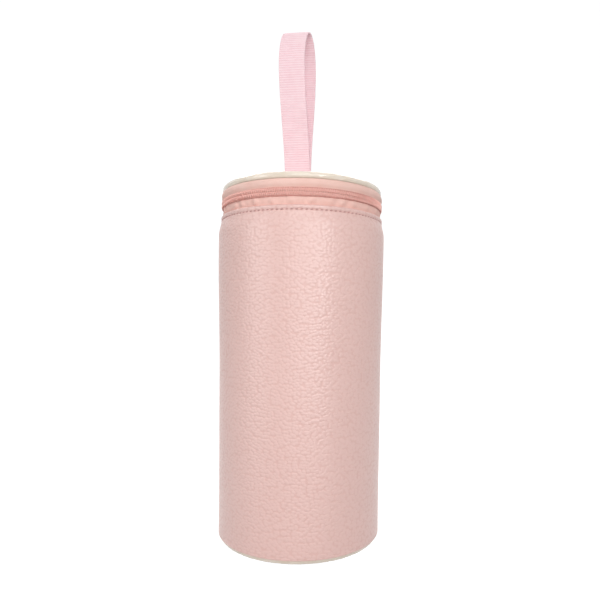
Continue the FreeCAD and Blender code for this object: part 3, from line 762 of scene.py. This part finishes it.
def pad_surface(edge_z, count, angles):
    """Height = edge + crown (1 - s^2), drawn down at the seam by a short rounded shoulder."""
    share = np.sin(np.linspace(0, np.pi / 2, count))[:, None]
    r = share * notch_reach(angles)
    shoulder = SEAM_DROP * eased((share - SEAM_START) / (1 - SEAM_START))
    return around(r, angles, edge_z + LID_CROWN * (1 - (r / LID_RADIUS) ** 2) - shoulder)


lid_welt = welt_ring("lid_welt", LID_PIPING_R, LID_PIPING_Z, LID_PULLS)
settle(lid_welt, welt, "lid", "welt", "lid_piping")

notch_angles = np.linspace(-NOTCH_TURN, NOTCH_TURN, 60)
rim_angles = np.linspace(NOTCH_TURN, 2 * np.pi - NOTCH_TURN, 280)[1:-1]
pad_angles = BACK + np.concatenate([notch_angles, rim_angles])
top = pad_surface(LID_SEAM + PAD_EDGE, 40, pad_angles)
under = pad_surface(LID_SEAM + PAD_EDGE - PAD_THICK, 12, pad_angles)[::-1]
pad = piece("lid_pad", np.vstack([top, under]), False, True)
settle(pad, disc_leather, "lid", "grained_leather", "lid_cover")

# %% Lid underside
LID_LINING_REACH, LID_LINING_DROP = 1.6, 3.9
LID_BINDING_WIDE, LID_BINDING_TALL, RIBBON_ROUND = 2.05, 2.8, 0.35


def rounded_box(count, half_wide, half_tall, power):
    """A box with round corners: half size times sign(c) |c|^power, for the cosine and sine of a turn."""
    turn = np.arange(count) * 2 * np.pi / count
    c, s = np.cos(turn), np.sin(turn)
    return half_wide * np.sign(c) * np.abs(c) ** power, half_tall * np.sign(s) * np.abs(s) ** power


lining_r, lining_z = LID_RADIUS + LID_LINING_REACH, LID_SEAM - LID_LINING_DROP
lid_foil = flat_disc("lid_foil", lining_r, lining_z, LINING, (0.0, 15.0, 30.0), (20.0, 0.0), 5)
settle(lid_foil, foil, "lid", "foil_lining", "lid_lining")

box_r, box_z = rounded_box(24, LID_BINDING_WIDE / 2, LID_BINDING_TALL / 2, RIBBON_ROUND)
binding_r = LID_RADIUS + FIT + LID_BINDING_WIDE / 2
binding_z = LID_SEAM - FIT - LID_BINDING_TALL / 2
binding_outline = np.stack([binding_r + box_r, binding_z + box_z], -1)
lid_ribbon = piece("lid_seam_ribbon", turned(binding_outline, round_turn(240)), True, True)
settle(lid_ribbon, ribbon, "lid", "binding_tape", "lid_seam_binding")

# %% [markdown]
# ## Pocket
# Inside, a metallised film lines the foam and a ribbon is folded over the rim. They show when the lid is
# open. The film is a thin tube with slow wrinkles in its inner face, which stay clear of the bottle.

# %% Pocket lining
WRINKLES, WRINKLE_DEEP, WRINKLE_FADE, WRINKLE_STOP = 14, 0.12, 30.0, 10.0
WANDER, WANDER_RISE = 2.0, 21.0


def pocket_tube():
    """A thin tube, its inner face rippled by slow lengthwise wrinkles that fade at both ends."""
    z = np.linspace(POCKET_FLOOR + FIT, HEM_TOP - RIM_WRAP - FIT, 60)
    inside = np.stack([0 * z + POCKET, z], -1)
    outside = np.stack([0 * z + POCKET + LINING, z], -1)[::-1]
    angles = round_turn(360)
    fade = eased(z / WRINKLE_FADE) * eased((HEM_TOP - WRINKLE_STOP - z) / WRINKLE_FADE)
    wander = WANDER * np.sin(z / WANDER_RISE)
    wrinkle = WRINKLE_DEEP * np.sin(WRINKLES * angles + wander[:, None]) * fade[:, None]
    relief = np.vstack([np.maximum(wrinkle, 0.0), 0 * wrinkle])
    return piece("pocket_foil", turned(np.vstack([inside, outside]), angles, relief), True, True)


settle(pocket_tube(), foil, "bag", "foil_lining", "wall_lining")
floor_r, floor_z = POCKET + LINING, POCKET_FLOOR - LINING
pocket_floor = flat_disc("pocket_floor_foil", floor_r, floor_z, LINING, (0.0, 20.0), (30.0, 15.0, 0.0), 5)
settle(pocket_floor, foil, "bag", "foil_lining", "base_lining")

# %% Rim ribbon
RIM_ROUND = 1.4


def rim_ribbon():
    """A U of ribbon over the rim: outer and inner legs joined by a round top."""
    outer = TAPE_R - TAPE - FIT
    middle, half, crest = (POCKET + outer) / 2, (outer - POCKET) / 2, HEM_TOP - RIM_ROUND
    legs = HEM_TOP + np.array([-RIM_WRAP, -5.0, -2.0])
    outside = np.stack([0 * legs + outer, legs], -1)
    over = arc((middle, crest), (half, RIM_ROUND), 0, 180, 13)
    inside = np.stack([0 * legs + POCKET, legs], -1)[::-1]
    legs_in = [[POCKET + BINDING, legs[0]], [POCKET + BINDING, legs[1]]]
    inner_face = arc((middle, crest), (half - BINDING, RIM_ROUND - BINDING), 180, 0, 13)
    legs_out = [[outer - BINDING, legs[1]], [outer - BINDING, legs[0]]]
    section = np.vstack([outside, over, inside, legs_in, inner_face, legs_out])
    return piece("rim_ribbon", turned(section, round_turn(300)), True, True)


settle(rim_ribbon(), ribbon, "bag", "binding_tape", "rim_binding")

# %% [markdown]
# ## Webbing loop
# One strip of webbing, 16.5 mm wide and 1.3 mm thick, goes up, turns over and comes back down. Its ends are
# stacked and sewn into the lid's back seam. The real strip stands up and is slightly twisted, and its weft
# makes ribs across it. A bevelled curve can't carry ribs, so a section is carried along the loop instead.
# It is one mesh, attached to no body.

# %% Strap line
LOOP_HEIGHT, CROWN_RISE, LOOP_FOOT, HALF_GAP, TAIL = 108.0, 22.0, 15.0, 7.8, -7.8
LEAN = np.array([-1.4, -4.0, 0.0])
LOOP_TURN, FACE_TURN, TWIST_RISE = math.radians(-33.0), math.radians(-14.0), 30.0


def strap_centre(count):
    """Offset and height along the loop: legs part with a smooth step, and the top is half an ellipse."""
    start, bend_foot = (WEBBING + LEG_GAP) / 2, LOOP_HEIGHT - CROWN_RISE
    h = np.linspace(TAIL, bend_foot, 200)
    leg = start + (HALF_GAP - start) * eased((h - LOOP_FOOT) / (bend_foot - LOOP_FOOT))
    turn = np.linspace(0, np.pi, 121)[1:-1]
    offset = np.concatenate([-leg, -HALF_GAP * np.cos(turn), leg[::-1]])
    height = np.concatenate([h, bend_foot + CROWN_RISE * np.sin(turn), h[::-1]])
    walk = running_length(np.hypot(np.diff(offset), np.diff(height)))
    even = np.linspace(0, walk[-1], count)
    return np.interp(even, walk, offset), np.interp(even, walk, height), even


strap_offset, strap_height, strap_walk = strap_centre(900)
print(f"webbing strip {strap_walk[-1]:.0f} mm long")

# %% Strap
RIB_SHARE, WEB_SHARE, SELVEDGE, WEB_ROUND = 0.1, 0.93, 0.4, 0.3


def flat_turn(angle):
    """Unit vectors across and behind a face that is turned by an angle about the upright."""
    c, s = np.cos(angle), np.sin(angle)
    return np.stack([c, s, 0 * c], -1), np.stack([-s, c, 0 * c], -1)


def strap_points(offset, height, walk):
    """Sections along the loop: it opens along deep, and its width lies along across.

    Ribs press both faces, thickness times 1 + share sin(2 pi walk / rib), but not the selvedges.
    """
    share = eased(height / TWIST_RISE)
    deep = flat_turn(LOOP_TURN * share)[1]
    across = flat_turn(FACE_TURN * share)[0]
    up = np.array([0.0, 0.0, 1.0])
    along = deep * np.gradient(offset, walk)[:, None] + up * np.gradient(height, walk)[:, None]
    face = np.cross(along, across)
    face /= np.linalg.norm(face, axis=1, keepdims=True)
    lean = LEAN * eased(height / LOOP_HEIGHT)[:, None]
    middle = np.array([0.0, STRAP_Y, STRAP_PIVOT]) + lean + deep * offset[:, None] + up * height[:, None]
    u, n = rounded_box(40, STRAP_WIDTH / 2, WEBBING / 2, WEB_ROUND)
    ribbed = np.abs(u) < STRAP_WIDTH / 2 - SELVEDGE
    rib = 1 + RIB_SHARE * np.sin(2 * np.pi * walk / RIB)[:, None] * ribbed
    body = middle[:, None] + across[:, None] * u[:, None] + face[:, None] * (n * rib * WEB_SHARE)[..., None]
    return body.transpose(1, 0, 2)


strap = piece("webbing_loop", strap_points(strap_offset, strap_height, strap_walk), True, False, True)
settle(strap, webbing, None, "webbing", "strap_loop", "strap_tails")
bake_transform(strap)

# %% [markdown]
# ## Carried-over solids
# The foam and the cords stay hidden inside, and the slider and its pull are rigid castings whose solids are
# right as they are. They keep their meshes and get their own finishes.


# %% Finishes on the solids
def dress(node, material):
    """Swaps every material slot of a carried-over solid for one finish."""
    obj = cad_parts[node]
    obj.data.materials.clear()
    obj.data.materials.append(material)


for node in ("wall_foam", "base_foam", "lid_foam"):
    dress(node, foam)
for node in ("base_piping_cord", "lid_piping_cord"):
    dress(node, thread)
for node in ("slider_body", "slider_bail", "pull_tab"):
    dress(node, nickel)
print("solids dressed")

# %% [markdown]
# ## Studio
# A paper sweep and a surround that look white, and soft lamps: a large one in front, one high in front, one
# above the lid, a strong one on the left and a weak one on the right, so that the right side falls off as in
# the photo. A narrow strip right of the front draws a band of specks on the grain. Three lamps high behind
# light the back. Camera, mirror and glass rays see plain white, while the light on the bag comes from a
# calmer grey. The paper itself is a mid grey that glows white when it is looked at, so that little light
# bounces up and fills the grain.


# %% World
def white_for_sight(tree):
    """1 for rays from the camera, from a glossy bounce or through glass, otherwise 0."""
    ray = add(tree, "ShaderNodeLightPath").outputs
    straight = {0: ray["Is Camera Ray"], 1: ray["Is Glossy Ray"]}
    direct = add(tree, "ShaderNodeMath", straight, operation="MAXIMUM").outputs[0]
    through = {0: direct, 1: ray["Is Transmission Ray"]}
    return add(tree, "ShaderNodeMath", through, operation="MAXIMUM").outputs[0]


world = bpy.data.worlds.new("soft_white_surround")
bpy.context.scene.world = world
world.use_nodes = True
sky = world.node_tree
sky.nodes.clear()
lit = add(sky, "ShaderNodeBackground", {"Color": linear("#FFFFFF"), "Strength": 0.2})
seen = add(sky, "ShaderNodeBackground", {"Color": linear("#FFFFFF"), "Strength": 1.0})
pick = add(sky, "ShaderNodeMixShader", {0: white_for_sight(sky), 1: lit.outputs[0], 2: seen.outputs[0]})
add(sky, "ShaderNodeOutputWorld", {"Surface": pick.outputs[0]})
print("surround:", world.name)

# %% Paper sweep
SWEEP_R, PAPER_DROP = 900.0, 0.4
PAPER_FRONT, PAPER_HALF, PAPER_TOP, PAPER_GLOW = 3000.0, 4000.0, 4000.0, 0.92
sweep = arc((SWEEP_R, SWEEP_R - PAPER_DROP), (SWEEP_R, SWEEP_R), -90, 0, 25)
profile = np.vstack([[[-PAPER_FRONT, -PAPER_DROP]], sweep, [[2 * SWEEP_R, PAPER_TOP]]])
width = np.linspace(-PAPER_HALF, PAPER_HALF, 3)
floor = piece("paper_sweep", np.stack(np.broadcast_arrays(width[:, None], *profile.T), -1))
paper, tree, shader = start_finish("white_paper_floor", Roughness=0.9, Base_Color=linear("#A8A8A8"))
shader.inputs["Emission Color"].default_value = linear("#FFFFFF")
glow = add(tree, "ShaderNodeMath", {0: white_for_sight(tree), 1: PAPER_GLOW}, operation="MULTIPLY")
tree.links.new(glow.outputs[0], shader.inputs["Emission Strength"])
floor.data.materials.append(paper)
print("floor:", floor.name)

# %% Lamps
BAG_MIDDLE = np.array([0.0, 0.0, 0.12])


def soft_lamp(name, place, wide, tall, power):
    """A rectangular area lamp at place in metres, facing the middle of the bag."""
    data = bpy.data.lights.new(name, "AREA")
    data.shape = "RECTANGLE"
    data.size = wide
    data.size_y = tall
    data.energy = power
    lamp = bpy.data.objects.new(name, data)
    lamp.location = place
    away = np.array(place) - BAG_MIDDLE
    flat = math.hypot(away[0], away[1])
    lamp.rotation_euler = (math.atan2(flat, away[2]), 0, math.atan2(away[0], -away[1]))
    bpy.context.scene.collection.objects.link(lamp)


soft_lamp("front_softbox", (-0.05, -1.05, 0.32), 0.6, 0.8, 3.7)
soft_lamp("high_softbox", (-0.1, -0.75, 1.0), 0.3, 0.3, 1.2)
soft_lamp("left_softbox", (-0.9, -0.45, 0.35), 0.4, 0.8, 3.2)
soft_lamp("right_softbox", (0.9, -0.45, 0.4), 0.5, 0.6, 0.6)
soft_lamp("top_softbox", (0.0, 0.1, 1.2), 0.6, 0.6, 1.0)
soft_lamp("strip_lamp", (0.33, -0.78, 0.34), 0.05, 0.5, 2.0)
soft_lamp("back_softbox", (0.1, 0.75, 1.15), 0.6, 0.6, 2.0)
soft_lamp("rear_left_softbox", (-0.6, 0.6, 1.15), 0.4, 0.4, 3.0)
soft_lamp("rear_right_softbox", (0.6, 0.6, 1.15), 0.4, 0.4, 3.0)
print("studio lit")

# %% [markdown]
# ## Camera
# The photographed bag fills the frame from close by: the eye is level, a little above half height, about
# 310 mm from the bag's axis. Tilting the camera would make the sides converge, so the lens is shifted up and
# sideways to frame the bag instead, and the camera is rolled by under a degree.

# %% Camera
FOCAL_PX, FRAME_PX, SIDE_PX, LIFT_PX = 537.0, 600.0, 1.0, 20.8
DISTANCE, EYE_HEIGHT, SIDE_STEP = 0.310, 0.1215, 0.014
AZIMUTH, ROLL = math.radians(-7.0), math.radians(0.65)
lens = bpy.data.cameras.new("camera")
lens.sensor_width = 36.0
lens.lens = lens.sensor_width * FOCAL_PX / FRAME_PX
lens.shift_x = -(SIDE_STEP / DISTANCE * FOCAL_PX + SIDE_PX) / FRAME_PX
lens.shift_y = LIFT_PX / FRAME_PX
lens.clip_start = 0.01
camera = bpy.data.objects.new("camera", lens)
right = np.array([math.cos(AZIMUTH), math.sin(AZIMUTH), 0.0])
back = np.array([math.sin(AZIMUTH), -math.cos(AZIMUTH), 0.0])
camera.location = DISTANCE * back + SIDE_STEP * right + [0, 0, EYE_HEIGHT]
camera.rotation_euler = (math.pi / 2, -ROLL, AZIMUTH)
bpy.context.scene.collection.objects.link(camera)
bpy.context.scene.camera = camera
bpy.context.scene.view_settings.view_transform = "Standard"
print("camera at", tuple(round(v, 4) for v in camera.location))
